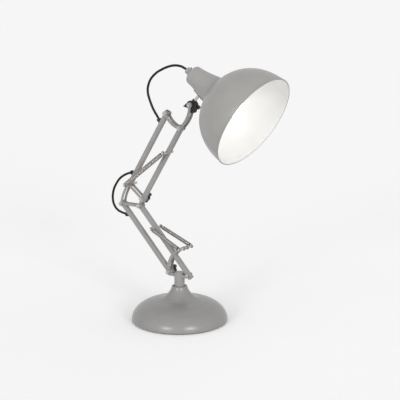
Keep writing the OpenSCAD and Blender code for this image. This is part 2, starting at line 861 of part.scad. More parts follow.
module elbow_top_pin() {
  end = plate_out + seat;
  color(steel) {
    grooved_pin(
      elbow_top, long_pin_r, -upper_pin_half, upper_pin_half, [-upper_pin_y], upper_groove, upper_groove_w);
    pin(elbow_top, disc_r, -end - disc_t, -end);
    pin(elbow_top, disc_r, end, end + disc_t);
    pin(elbow_top, head_r, -end - head_h, -end - disc_t, 6);
    pin(elbow_top, head_r, end + disc_t, end + nut_h, 6);
  }
}

module elbow_clamp_bolt() {
  color(steel) clamp_bolt(elbow_clamp);
}

module elbow_wing_nut() {
  color(black) far_wing(elbow_clamp, upper_lean - 90);
}

module upper_rear_bar() {
  color(grey) on_bar(elbow_top, upper_lean)
    bar(bar_over, upper_len + bar_over, [[0, long_pin_r + run], [upper_len, bolt_r + run]]) {
      bush_rod(upper_foot_d, upper_foot_tilt, seat);
      bush_rod(upper_top_d, upper_top_tilt, seat);
    }
}

module upper_foot_bush() {
  color(black) on_bar(elbow_top, upper_lean) bush_rod(upper_foot_d, upper_foot_tilt, 0);
}

module upper_top_bush() {
  color(black) on_bar(elbow_top, upper_lean) bush_rod(upper_top_d, upper_top_tilt, 0);
}

module upper_front_bar() {
  color(grey) on_bar(elbow_clamp, upper_lean)
    bar(bar_over, upper_len + bar_over,
      [[0, bolt_r + run], [pin_up, long_pin_r + seat], [upper_len, bolt_r + run]]);
}

module upper_spring_pin() {
  color(steel) grooved_pin(
    upper_pin, long_pin_r, -upper_pin_half, upper_pin_far, [-upper_pin_y], upper_groove, upper_groove_w);
}

module head_drawing() {
  rear_mid = arc_middle(head_front, head_rear, head_rear_r);
  front_mid = arc_middle(tilt_pivot, head_front, head_front_r);
  ends = [head_rear, head_front, tilt_pivot];
  difference() {
    union() {
      for (p = ends) dot(p, lobe_r);
      polygon(arc_strip(rear_mid, head_front, head_rear, head_w));
      polygon(arc_strip(front_mid, tilt_pivot, head_front, head_w));
    }
    for (p = ends) dot(p, bolt_r + seat);
  }
}

module head_plate_near() {
  color(grey) side_plate(-1) head_drawing();
}

module head_plate_far() {
  color(grey) side_plate(1) head_drawing();
}

module head_rear_bolt() {
  color(steel) pivot_bolt(head_rear, bolt_r, true);
}

module head_front_bolt() {
  color(steel) pivot_bolt(head_front, bolt_r, true);
}

module tilt_bolt() {
  color(steel) clamp_bolt(tilt_pivot);
}

module tilt_wing_nut() {
  color(black) far_wing(tilt_pivot, 43);
}

module knuckle() {
  color(black) difference() {
    union() {
      at(tilt_pivot) plate(-bar_w / 2, bar_w / 2) {
        circle(knuckle_r);
        polygon(knuckle_r * [[-2, -0.4], [-0.5, 0.8], [0, -0.8]]);
        translate([0.45 * knuckle_r, -1.05 * knuckle_r]) circle(0.75 * knuckle_r);
      }
      on_rod() cylinder(h = socket_len, r = socket_r);
    }
    pin(tilt_pivot, bolt_r + run, -bar_w, bar_w);
    on_rod() translate([0, 0, rod_start - side]) cylinder(h = socket_len, r = rod_r + run);
  }
}

module rod_lock_nut() {
  color(black) on_rod() translate([0, 0, nut_seat]) difference() {
    cylinder(h = rod_nut_h, r = rod_nut_r, $fn = 6);
    translate([0, 0, -1]) cylinder(h = rod_nut_h + 2, r = rod_r + run);
  }
}

module head_rod() {
  color(steel) difference() {
    on_rod() translate([0, 0, rod_start]) cylinder(h = rod_reach + 2 * sheet - rod_start, r = rod_r);
    on_shade() cup_body(saddle_t + 2 * seat);
  }
}

module saddle_plate() {
  low = rod_foot - saddle_len / 2;
  high = rod_foot + saddle_len / 2;
  color(black) on_shade() intersection() {
    rotate_extrude()
      polygon(concat(cup_side(low, high, seat), backwards(cup_side(low, high, saddle_t + seat))));
    translate([0, -saddle_w / 2, low]) cube([2 * cup_base_r, saddle_w, saddle_len]);
  }
}

module socket_cup() {
  // the rounded edge pulls the side line in by up to its radius
  edge = [for (i = [0:8])
    let (a = 90 * i / 8, s = cup_round * (1 - cos(a))) [cup_r(s) - cup_round * (1 - sin(a)), s]];
  outer = concat(edge, [for (p = cup_side(cup_round, cup_len, 0)) if (p[1] > cup_round) p]);
  color(grey) on_shade() rotate_extrude() polygon(concat(
    [[nipple_r + seat, 0]], outer,
    backwards([for (q = inner_of(outer, -sheet)) [q[0], min(q[1], cup_len)]]), [[nipple_r + seat, sheet]]
  ));
}

module shade() {
  outer = [for (i = [0:arc_steps])
    let (t = shade_len * (1 - cos(90 * i / arc_steps))) [shade_at(t), cup_len + t]];
  hole = holder_r + holder_gap;
  color(grey) on_shade() rotate_extrude() {
    polygon(concat(
      [[hole, cup_len + seat]], [for (p = outer) p + [0, seat]],
      backwards(inner_of(outer, -sheet)), [[hole, cup_len + sheet]]
    ));
    translate([shade_r - sheet / 2, cup_len + shade_len]) circle(bead_r);
  }
}

module shade_ring() {
  color(black) on_shade() translate([0, 0, cup_len + 2 * sheet]) difference() {
    cylinder(h = ring_h, r = ring_r);
    translate([0, 0, -1]) cylinder(h = ring_h + 2, r = holder_r + seat);
  }
}

module lamp_holder() {
  end = holder_top + holder_len;
  color(black) on_shade() rotate_extrude() polygon([
    [0, holder_top], [holder_neck_r, holder_top], [holder_neck_r, holder_step - holder_slope],
    [holder_r, holder_step], [holder_r, end], [cap_r + cap_gap, end], [cap_r + cap_gap, cap_top - contact_h],
    [0, cap_top - contact_h]
  ]);
}

module bulb_cap() {
  end = holder_top + holder_len + cap_out;
  color(steel) on_shade() rotate_extrude() polygon([
    [0, cap_top - contact_h], [contact_r, cap_top - contact_h], [contact_r, cap_top], [cap_r, cap_top + 3],
    [cap_r, end], [0, end]
  ]);
}

module bulb_glass() {
  low = holder_top + holder_len + cap_out;
  mid = bulb_len - bulb_r;
  // the neck leaves the ball where the ball is as wide as the cap
  meet = asin((cap_r + 1) / bulb_r);
  ball = [for (i = [0:arc_steps])
    let (a = meet + (180 - meet) * i / arc_steps) [bulb_r * sin(a), low + mid - bulb_r * cos(a)]];
  color([0.95, 0.95, 0.92]) on_shade() rotate_extrude() polygon(concat(
    [[0, low], [cap_r - 0.5, low]], [for (i = [0:arc_steps - 1]) ball[i]], [[0, low + bulb_len]]
  ));
}

module cord_gland() {
  color(grey) on_shade() {
    translate([0, 0, -gland_len]) cylinder(h = gland_len - washer_t - seat, r = gland_r);
    translate([0, 0, -washer_t - 1]) cylinder(h = washer_t + 1 + holder_top, r = nipple_r);
  }
}

module gland_washer() {
  color(black) on_shade() translate([0, 0, -washer_t]) difference() {
    cylinder(h = washer_t - seat, r = gland_r * 1.25);
    translate([0, 0, -1]) cylinder(h = washer_t + 2, r = nipple_r + seat);
  }
}

module gland_screw() {
  color(steel) on_shade() difference() {
    translate([0, 0, -gland_len * 0.6]) rotate([0, -90, 0]) cylinder(h = gland_r + screw_out, r = screw_r);
    translate([0, 0, -gland_len - 1]) cylinder(h = gland_len, r = gland_r + seat);
  }
}

module lower_spring_near() {
  color(steel) tube(lower_line, lower_wire / 2, wire_sides);
}

module lower_spring_far() {
  color(steel) tube(lower_far_line, lower_wire / 2, wire_sides);
}

module upper_spring() {
  color(steel) tube(upper_line, upper_wire / 2, wire_sides);
}

module elbow_cord() {
  color(black) tube(elbow_line, cord_r, cord_sides);
}

module head_cord() {
  color(black) tube(head_line, cord_r, cord_sides);
}

base_shell();
base_weight();
bottom_plate();
foot_pad();
neck_bush();
outlet_bush();
stem();
stem_cap();
horn_plate_near();
horn_plate_far();
rear_clamp_bolt();
front_pivot_bolt();
spring_anchor();
base_wing_nut();
lower_rear_bar();
lower_cord_bush();
lower_front_bar();
toe_plug();
lower_spring_pin();
elbow_plate_near();
elbow_plate_far();
elbow_rear_bolt();
elbow_front_bolt();
elbow_top_pin();
elbow_clamp_bolt();
elbow_wing_nut();
upper_rear_bar();
upper_foot_bush();
upper_top_bush();
upper_front_bar();
upper_spring_pin();
head_plate_near();
head_plate_far();
head_rear_bolt();
head_front_bolt();
tilt_bolt();
tilt_wing_nut();
knuckle();
rod_lock_nut();
head_rod();
saddle_plate();
socket_cup();
shade();
shade_ring();
lamp_holder();
bulb_cap();
bulb_glass();
cord_gland();
gland_washer();
gland_screw();
lower_spring_near();
lower_spring_far();
upper_spring();
elbow_cord();
head_cord();
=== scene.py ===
"""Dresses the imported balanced-arm task lamp: spun forms, springs, flex loops, finishes, lights and camera.

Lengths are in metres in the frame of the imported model: Z up, arms in the XZ plane, shade towards +X.
"""

import json
import math

import bpy
import numpy as np
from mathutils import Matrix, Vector


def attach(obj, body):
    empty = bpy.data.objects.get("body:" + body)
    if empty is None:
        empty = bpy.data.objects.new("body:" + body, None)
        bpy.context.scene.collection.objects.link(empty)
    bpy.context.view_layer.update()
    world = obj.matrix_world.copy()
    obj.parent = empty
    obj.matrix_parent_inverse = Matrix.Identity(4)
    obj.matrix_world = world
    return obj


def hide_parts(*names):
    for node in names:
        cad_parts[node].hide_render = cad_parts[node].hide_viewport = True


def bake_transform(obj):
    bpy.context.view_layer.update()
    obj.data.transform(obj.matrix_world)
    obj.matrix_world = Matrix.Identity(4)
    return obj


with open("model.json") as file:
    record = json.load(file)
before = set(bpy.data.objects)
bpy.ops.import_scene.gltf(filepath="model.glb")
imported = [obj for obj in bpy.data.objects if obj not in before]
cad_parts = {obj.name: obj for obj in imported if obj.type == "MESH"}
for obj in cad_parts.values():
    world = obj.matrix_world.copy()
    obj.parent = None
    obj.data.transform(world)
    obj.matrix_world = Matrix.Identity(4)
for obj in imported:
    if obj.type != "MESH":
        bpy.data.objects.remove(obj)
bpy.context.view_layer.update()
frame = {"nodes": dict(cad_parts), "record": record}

bl_info = {
    "name": "Task Lamp Dresser",
    "version": (1, 0, 0),
    "blender": (4, 5, 0),
    "location": "3D View > Sidebar > Task Lamp",
    "description": "Builds the visible surfaces of a balanced-arm task lamp round its packed frame",
    "category": "Object",
}

MM = 0.001
QUARTER = math.pi / 2
JOINTS = {j["name"]: j for j in frame["record"]["behaviour"]["joints"]}


def pivot(name):
    """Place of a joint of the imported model."""
    return np.array(JOINTS[name]["pos_m"], float)


REAR_PIVOT = pivot("lower_arm")
FRONT_PIVOT = pivot("lower_link")
ELBOW_TOP = pivot("upper_arm")
ELBOW_CLAMP = pivot("upper_link")
HEAD_REAR = pivot("head_level")
TILT_PIVOT = pivot("head_tilt")
ROD_DIR = np.array(JOINTS["head_turn"]["axis"], float)
Y_AXIS = np.array([0.0, 1.0, 0.0])
Z_AXIS = np.array([0.0, 0.0, 1.0])

# Lean of the two arms from upright, and the slope of the shade's axis
LOWER_LEAN = math.radians(-43.5)
UPPER_LEAN = math.radians(32.5)
SHADE_PITCH = math.radians(31.0)

# Powers of the curves that form the dome, the shade and the cup
DOME_POWERS = (2.95, 0.49)
SHADE_POWERS = (2.16, 2.2)
CUP_POWER = 1.53

# Flex routes of the solids, as offsets (x, z) in millimetres from the joint that each loop hangs by
ELBOW_ROUTE = [
    (-7, 18), (-13.5, 15), (-20, 11), (-26, 6), (-31, 0), (-36, -7.5), (-39.5, -15), (-41.5, -23),
    (-42, -31), (-40.5, -39), (-36.5, -46), (-31, -51), (-24, -54),
]
HEAD_ROUTE = [
    (32, 81.4), (23, 82.9), (14, 82.7), (5, 80.9), (-4, 78), (-12, 74.6), (-20.5, 70.4), (-28.5, 64.6),
    (-35, 58), (-39.5, 50), (-42, 41), (-41.5, 32), (-39, 24), (-35.5, 16), (-31.5, 8), (-26.5, 0.5),
]
ROUTE_STEP = 0.8 * MM

# Cuts of the flex: a point of the elbow's route, and millimetres from the gland at the head, with the share
# of the tilt meant for the head's flex at its middle cut
ELBOW_CUT = ELBOW_ROUTE[8]
HEAD_CUTS = (46, 95, 133)
HEAD_SHARE = 0.6

# Cord bushes on the rear bars: distance from the bar's pivot, and tilt along the bar
UPPER_BUSH = (24 * MM, math.radians(-45))
LOWER_BUSH = (131 * MM, math.radians(51))
HEAD_BUSH = (135.5 * MM, math.radians(27))

# Springs: the anchor pin, and where each wire is cut, as a part of its length, with the share of the free
# body's turn meant for the wire there
SPRING_ANCHOR = np.array([13.4, 0.0, 134.5]) * MM
LOWER_CUT = (0.2, 0.4)
UPPER_CUT = (0.3, 0.9)

# Spring wire: turn and points of a hook, points of a curl, curl points left out at either end for the legs,
# how many coil radii a leg stops short of the first curl, and where its points lie, as parts of its length
HOOK_TURN = math.radians(250)
HOOK_POINTS = 28
CURL_POINTS = 24
LEG_SKIP = 3
LEG_SHORT = 0.7
LEG_PARTS = np.linspace(0.35, 1.0, 4)[:, None]

# Stage: width of the camera's sensor in millimetres, how far it sees, and the floor's radius and corners
SENSOR = 36.0
VIEW_END = 100.0
FLOOR_R = 60.0
FLOOR_CORNERS = 64

# The part of a noise's output where nearly all of it lies, the height of a full bump, and the share of
# the finer dust in it
NOISE_RANGE = (0.3, 0.7)
BUMP_HEIGHT = 0.2 * MM
DUST_SHARE = 0.35

# Points along a long curve, a short curve and the cup's rounding
LONG_CURVE = 72
SHORT_CURVE = 40
ROUNDING = 14

finishes = {}


# Settings


def length_prop(name, description, default):
    """A length in metres that the panel shows with its unit."""
    return bpy.props.FloatProperty(
        name=name, description=description, default=default, min=0.0, unit="LENGTH", precision=5
    )


def colour_prop(name, description, default):
    """A linear colour."""
    return bpy.props.FloatVectorProperty(
        name=name, description=description, default=default, subtype="COLOR", size=3, min=0.0, max=1.0
    )


def angle_prop(name, description, degrees):
    """An angle that the panel shows in degrees."""
    return bpy.props.FloatProperty(
        name=name, description=description, default=math.radians(degrees), subtype="ANGLE"
    )


def strength_prop(name, description, default):
    """A strength of light."""
    return bpy.props.FloatProperty(name=name, description=description, default=default, min=0.0)


def count_prop(name, description, default):
    """A whole number of like things."""
    return bpy.props.IntProperty(name=name, description=description, default=default, min=1)


class LampSizes(bpy.types.PropertyGroup):
    """Sizes of the new surfaces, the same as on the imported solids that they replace"""

    base_r: length_prop("Base radius", "Largest radius of the domed base", 85.6 * MM)
    rim_z: length_prop("Rim height", "Height of the widest edge of the base", 3 * MM)
    dome_rise: length_prop("Dome rise", "Height of the dome over its widest edge", 38.3 * MM)
    neck_foot_r: length_prop("Neck foot", "Radius where the neck runs out into the dome", 38 * MM)
    neck_drop: length_prop("Neck drop", "Height over which the neck starts straight down", 8 * MM)
    neck_sweep: length_prop("Neck sweep", "Length over which the neck runs out along the dome", 13 * MM)
    neck_top_r: length_prop("Neck radius", "Radius of the top of the neck", 14 * MM)
    neck_top_z: length_prop("Neck height", "Height of the top of the neck", 64 * MM)
    neck_lip: length_prop("Neck rounding", "Rounding of the upper edge of the neck", 0.9 * MM)
    neck_bore: length_prop("Neck bore", "Radius of the hole in the neck", 11.2 * MM)
    ceiling_r: length_prop("Ceiling radius", "Radius of the flat ceiling inside the neck", 17.2 * MM)
    ceiling_lift: length_prop("Ceiling lift", "Height of the ceiling over the foot of the neck", 6.4 * MM)
    shell_wall: length_prop("Shell wall", "Wall of the base", 2 * MM)
    shell_low: length_prop("Shell underside", "Height of the lower edge of the base", 1.6 * MM)
    cup_len: length_prop("Cup length", "Length of the socket cup", 58.6 * MM)
    cup_tip_r: length_prop("Cup end radius", "Radius of the cup at its closed end", 16.5 * MM)
    cup_base_r: length_prop("Cup mouth radius", "Radius of the cup at the shade", 28 * MM)
    cup_round: length_prop("Cup rounding", "Rounding of the closed end of the cup", 4 * MM)
    cup_roll: length_prop("Cup roll", "Radius of the fine roll at the mouth of the cup", 0.7 * MM)
    cup_bore: length_prop("Cup bore", "Radius of the hole for the cord gland", 5.03 * MM)
    rod_reach: length_prop("Rod reach", "Distance from the tilt pivot to the cup", 25.5 * MM)
    rod_foot: length_prop("Rod foot", "Distance of the rod's foot from the closed end", 30.6 * MM)
    shade_len: length_prop("Shade depth", "Depth of the shade from cup to rim", 85.2 * MM)
    shade_r: length_prop("Shade radius", "Radius of the shade at its rim", 84.5 * MM)
    shade_hole: length_prop("Shade hole", "Radius of the hole for the lamp holder", 19.2 * MM)
    seat_gap: length_prop("Seat gap", "Gap between the cup and the back of the shade", 0.03 * MM)
    sheet: length_prop("Sheet", "Sheet thickness of cup and shade", 1.2 * MM)
    bead_r: length_prop("Rim roll", "Radius of the rolled rim of the shade", 1.3 * MM)
    bulb_at: length_prop("Bulb place", "Distance of the bulb's neck from the closed end of the cup", 68 * MM)
    bulb_r: length_prop("Bulb radius", "Radius of the round bulb", 21 * MM)
    bulb_len: length_prop("Bulb length", "Length of the glass", 43 * MM)
    bulb_neck: length_prop("Bulb neck", "Radius of the glass at the cap", 12.7 * MM)
    bulb_flare: length_prop("Bulb flare", "How much wider the neck is where it meets the ball", 1.5 * MM)
    gland_len: length_prop("Gland length", "Length of the cord gland on the cup", 12 * MM)
    flex_r: length_prop("Flex radius", "Radius of the flex", 2.1 * MM)
    bush_out: length_prop("Bush length", "Length of the cord bushes over the bars", 6.5 * MM)
    bar_w: length_prop("Bar width", "Width of the square tubes", 8 * MM)
    pin_up: length_prop("Spring pin", "Distance of the spring pins along the front bars", 105 * MM)
    hook_lead: length_prop("Hook length", "Distance from a pin to the first curl of its spring", 4.4 * MM)
    anchor_side: length_prop("Anchor side", "Distance of the lower springs' feet from the middle", 18 * MM)
    pin_side: length_prop("Pin side", "Distance of the lower springs' tops from the middle", 14 * MM)
    upper_side: length_prop("Upper side", "Distance of the upper spring from the middle", 15.5 * MM)
    lower_coil: length_prop("Lower coil", "Outer radius of the lower springs", 3.6 * MM)
    lower_wire: length_prop("Lower wire", "Thickness of the lower springs' wire", 1.7 * MM)
    lower_curls: count_prop("Lower curls", "Curls of each lower spring", 38)
    upper_coil: length_prop("Upper coil", "Outer radius of the upper spring", 4 * MM)
    upper_wire: length_prop("Upper wire", "Thickness of the upper spring's wire", 1.9 * MM)
    upper_curls: count_prop("Upper curls", "Curls of the upper spring", 52)


class LampFinishes(bpy.types.PropertyGroup):
    """Colours of the finishes and the light of the bulb"""

    paint: colour_prop("Paint", "Satin paint of shade and cup", (0.292, 0.285, 0.275))
    # Arm paint is the satin paint darkened a little: painted shade on the tubes and bracket plates
    arms: colour_prop("Arm paint", "The same paint on tubes and bracket plates", (0.266, 0.262, 0.255))
    # Base paint is the same paint darkened further: painted shade on the base
    casting: colour_prop("Base paint", "The same paint on the casting of the base", (0.243, 0.239, 0.234))
    enamel: colour_prop("Enamel", "White inside of the shade", (0.79, 0.79, 0.78))
    plastic: colour_prop("Plastic", "Moulded black pieces", (0.010, 0.010, 0.011))
    steel: colour_prop("Steel", "Plated bolts, pins and rod", (0.58, 0.56, 0.54))
    wire: colour_prop("Spring wire", "Drawn wire of the springs", (0.35, 0.322, 0.308))
    flex: colour_prop("Flex", "Sheath of the flex", (0.004, 0.004, 0.0045))
    iron: colour_prop("Iron", "Closing plate and weight", (0.03, 0.03, 0.03))
    pad: colour_prop("Pad", "Foam pad under the base", (0.02, 0.02, 0.02))
    cap: colour_prop("Bulb cap", "Metal cap of the bulb", (0.6, 0.6, 0.6))
    opal: colour_prop("Opal glass", "Glass of the bulb", (0.9, 0.88, 0.84))
    glow: colour_prop("Bulb", "Light of the bulb", (1.0, 0.96, 0.90))
    glow_strength: strength_prop("Bulb strength", "Brightness of the bulb's skin", 2.5)


class LampStage(bpy.types.PropertyGroup):
    """Camera, lights and the pale ground"""

    camera_at: bpy.props.FloatVectorProperty(
        name="Camera", description="Place of the camera", default=(0.9858, -1.3298, 0.5369),
        subtype="TRANSLATION", size=3, unit="LENGTH", precision=4,
    )
    azimuth: angle_prop("Azimuth", "Turn of the camera round the lamp", 35.29)
    elevation: angle_prop("Elevation", "Height angle of the camera", 10.88)
    lens: bpy.props.FloatProperty(
        name="Lens", description="Focal length on a 36 mm sensor", default=86.68, min=1.0, unit="CAMERA"
    )
    ground: colour_prop("Ground", "Colour of the floor and of the background", (0.922, 0.922, 0.922))
    key: strength_prop("Key light", "Strength of the key light", 1.1)
    key_from: angle_prop("Key from", "Turn of the key light round the lamp", 5)
    fill: strength_prop("Fill light", "Strength of the fill light", 1.2)
    fill_from: angle_prop("Fill from", "Turn of the fill light round the lamp", 62)
    light_height: angle_prop("Light height", "Height angle of both lights", 15)
    light_size: angle_prop("Light size", "Width of both lights as the lamp sees them", 18)
    sky: strength_prop("Sky", "Strength of the even light", 0.68)
    veil: strength_prop("Floor veil", "Paleness of the floor that lights nothing", 0.12)


def sizes():
    """The sizes that the panel shows."""
    return bpy.context.scene.lamp_sizes


# Surfaces


def unit(v):
    """Vectors of length one along the last axis."""
    v = np.asarray(v, float)
    return v / np.linalg.norm(v, axis=-1, keepdims=True)


def bar_axes(lean):
    """Directions along and across a bar that leans from upright in the plane of the arms."""
    sin, cos = math.sin(lean), math.cos(lean)
    return np.array([sin, 0.0, cos]), np.array([cos, 0.0, -sin])


def bar_point(p, lean, d, x):
    """Point of a bar: d along it from its pivot p, x across it in the plane of the arms."""
    along, across = bar_axes(lean)
    return p + d * along + x * across


def grid_faces(rows, cols, wrap_rows):
    """Quads of a grid of rows by cols points: its columns close round, its rows on request."""
    i = np.arange(rows if wrap_rows else rows - 1)
    a, b = (g.ravel() for g in np.meshgrid(i, np.arange(cols), indexing="ij"))
    c, d = (a + 1) % rows, (b + 1) % cols
    return np.stack([a * cols + b, a * cols + d, c * cols + d, c * cols + b], axis=1)


def put_mesh(name, points, quads, polygons=(), slots=(), slot_of=None, sharp=35.0):
    """A new object at the origin from whole arrays of points and quads, plus a few other polygons."""
    mesh = bpy.data.meshes.new(name)
    faces = quads.tolist() + [polygon.tolist() for polygon in polygons]
    mesh.from_pydata(points.reshape(-1, 3).tolist(), [], faces)
    for slot in slots:
        mesh.materials.append(slot)
    if slot_of is not None:
        mesh.polygons.foreach_set("material_index", np.asarray(slot_of, np.int32))
    mesh.polygons.foreach_set("use_smooth", np.ones(len(mesh.polygons), bool))
    mesh.update()
    mesh.set_sharp_from_angle(angle=math.radians(sharp))
    mesh.validate()
    obj = bpy.data.objects.new(name, mesh)
    bpy.context.scene.collection.objects.link(obj)
    return obj


def revolve(name, profile, at, axis, slots, slot_of_step=None, turns=128, sharp=35.0):
    """Surface of revolution: each profile point (r, s) runs round the axis, s along it from the point at.

    A point is at + s * axis + r * (cos v * a + sin v * b), with a and b square to the axis.
    A profile that starts on the axis also ends there and gets two poles; any other closes on itself.
    """
    a = unit(np.cross(axis, Y_AXIS))
    b = np.cross(axis, a)
    v = np.linspace(0, 2 * np.pi, turns, endpoint=False)[:, None]
    ring = np.cos(v) * a + np.sin(v) * b
    poled = profile[0, 0] == 0.0
    body = profile[1:-1] if poled else profile
    points = (at + body[:, 1, None, None] * axis + body[:, 0, None, None] * ring).reshape(-1, 3)
    quads = grid_faces(len(body), turns, not poled)
    fans = ()
    if poled:
        k, first = np.arange(turns), len(points)
        after, end = (k + 1) % turns, first - turns
        points = np.vstack([points, at + profile[[0, -1], 1, None] * axis])
        fans = np.vstack([
            np.stack([np.full(turns, first), after, k], axis=1),
            np.stack([np.full(turns, first + 1), end + k, end + after], axis=1),
        ])
    slot_of = None if slot_of_step is None else np.repeat(slot_of_step, turns)
    return put_mesh(name, points, quads, fans, slots, slot_of, sharp)


def sweep(name, line, across, radius, sides, slots):
    """Round tube with closed ends: at each point of the line a ring of one radius, square to the line.

    A ring point is the line's point + radius * (cos v * u + sin v * w), with u and w square to the line.
    across gives one direction per point that is never along the line, so that the tube doesn't twist.
    """
    t = unit(np.gradient(line, axis=0))
    u = unit(across - np.sum(across * t, axis=1, keepdims=True) * t)
    w = np.cross(t, u)
    v = np.linspace(0, 2 * np.pi, sides, endpoint=False)[:, None]
    rings = line[:, None] + radius * (np.cos(v) * u[:, None] + np.sin(v) * w[:, None])
    quads = grid_faces(len(line), sides, False)[:, ::-1]
    rim = np.arange(sides)
    caps = [rim[::-1], (len(line) - 1) * sides + rim]
    return put_mesh(name, rings, quads, caps, slots, sharp=50.0)


def smooth_line(points, step):
    """Uniform Catmull-Rom curve through the points, sampled about every step."""
    p = np.asarray(points, float)
    p = np.vstack([2 * p[0] - p[1], p, 2 * p[-1] - p[-2]])
    out = []
    for a, b, c, d in zip(p[:-3], p[1:-2], p[2:-1], p[3:]):
        count = max(2, int(round(np.linalg.norm(c - b) / step)) + 1)
        t = np.linspace(0, 1, count)[:-1, None]
        square, cube = 2 * a - 5 * b + 4 * c - d, 3 * b - a - 3 * c + d
        out.append(0.5 * (2 * b + (c - a) * t + square * t**2 + cube * t**3))
    return np.vstack(out + [p[-2:-1]])


def run_of(line):
    """Length of a line up to each of its points."""
    return np.concatenate([[0.0], np.cumsum(np.linalg.norm(np.diff(line, axis=0), axis=1))])


def arc(mid, radius, start, end, count):
    """Profile points on a circle round mid, from one angle to the other."""
    v = np.linspace(start, end, count)
    return np.asarray(mid) + radius * np.stack([np.cos(v), np.sin(v)], axis=1)


def offset_line(line, by):
    """Profile moved sideways by a constant thickness, to the right of its run."""
    run = unit(np.gradient(line, axis=0))
    return line + by * np.stack([run[:, 1], -run[:, 0]], axis=1)


def cup_radius(along):
    """Radius of the socket cup at a distance from its closed end: it widens by the power 1.53."""
    s = sizes()
    return s.cup_tip_r + (s.cup_base_r - s.cup_tip_r) * (along / s.cup_len) ** CUP_POWER


def shade_frame():
    """Closed end of the socket cup and direction of the shade's axis, from the tilt pivot and the rod."""
    s = sizes()
    axis = np.array([math.cos(SHADE_PITCH), 0.0, -math.sin(SHADE_PITCH)])
    down = np.array([-math.sin(SHADE_PITCH), 0.0, -math.cos(SHADE_PITCH)])
    foot = TILT_PIVOT + s.rod_reach * ROD_DIR
    return foot - s.rod_foot * axis - cup_radius(s.rod_foot) * down, axis


# Finishes


def new_group(name, inputs, outputs):
    """An empty node group with its sockets, given as name and kind, and its nodes for input and output."""
    group = bpy.data.node_groups.new(name, "ShaderNodeTree")
    for way, sockets in (("INPUT", inputs), ("OUTPUT", outputs)):
        for socket, kind in sockets.items():
            group.interface.new_socket(socket, in_out=way, socket_type="NodeSocket" + kind)
    return group, group.nodes.new("NodeGroupInput"), group.nodes.new("NodeGroupOutput")


def noise_pair(group, given, factor, details):
    """Two noises over the given vector: one at the given scale, the other at the scale times the factor."""
    nodes, links = group.nodes, group.links
    times = nodes.new("ShaderNodeMath")
    times.operation = "MULTIPLY"
    times.inputs[1].default_value = factor
    links.new(given.outputs["Scale"], times.inputs[0])
    pair = []
    for scale, detail in zip((given.outputs["Scale"], times.outputs[0]), details):
        noise = nodes.new("ShaderNodeTexNoise")
        noise.inputs["Detail"].default_value = detail
        links.new(given.outputs["Vector"], noise.inputs["Vector"])
        links.new(scale, noise.inputs["Scale"])
        pair.append(noise)
    return pair


def spread(group, noise):
    """Map Range node that spreads a noise over the whole of its own output range."""
    node = group.nodes.new("ShaderNodeMapRange")
    node.inputs["From Min"].default_value, node.inputs["From Max"].default_value = NOISE_RANGE
    group.links.new(noise.outputs["Fac"], node.inputs["Value"])
    return node


def mottle_group():
    """Node group: two colours mixed by soft noise, and a roughness that varies in patches."""
    group = bpy.data.node_groups.get("lamp_mottle")
    if group:
        return group
    group, given, out = new_group(
        "lamp_mottle",
        {"Vector": "Vector", "Light": "Color", "Dark": "Color", "Scale": "Float", "Smooth": "Float",
         "Rough": "Float"},
        {"Color": "Color", "Roughness": "Float"},
    )
    links = group.links
    cloud, patch = noise_pair(group, given, factor=0.31, details=(5.0, 2.0))
    mix = group.nodes.new("ShaderNodeMix")
    mix.data_type = "RGBA"
    links.new(spread(group, cloud).outputs["Result"], mix.inputs["Factor"])
    links.new(given.outputs["Dark"], mix.inputs["A"])
    links.new(given.outputs["Light"], mix.inputs["B"])
    gloss = spread(group, patch)
    links.new(given.outputs["Smooth"], gloss.inputs["To Min"])
    links.new(given.outputs["Rough"], gloss.inputs["To Max"])
    links.new(mix.outputs["Result"], out.inputs["Color"])
    links.new(gloss.outputs["Result"], out.inputs["Roughness"])
    return group


def grain_group():
    """Node group: height of a fine skin, such as orange peel or moulded grain, with a finer dust on it."""
    group = bpy.data.node_groups.get("lamp_grain")
    if group:
        return group
    group, given, out = new_group("lamp_grain", {"Vector": "Vector", "Scale": "Float"}, {"Height": "Float"})
    peel, dust = noise_pair(group, given, factor=3.7, details=(1.0, 3.0))
    both = group.nodes.new("ShaderNodeMath")
    both.operation = "MULTIPLY_ADD"
    both.inputs[1].default_value = DUST_SHARE
    group.links.new(dust.outputs["Fac"], both.inputs[0])
    group.links.new(peel.outputs["Fac"], both.inputs[2])
    group.links.new(both.outputs[0], out.inputs["Height"])
    return group


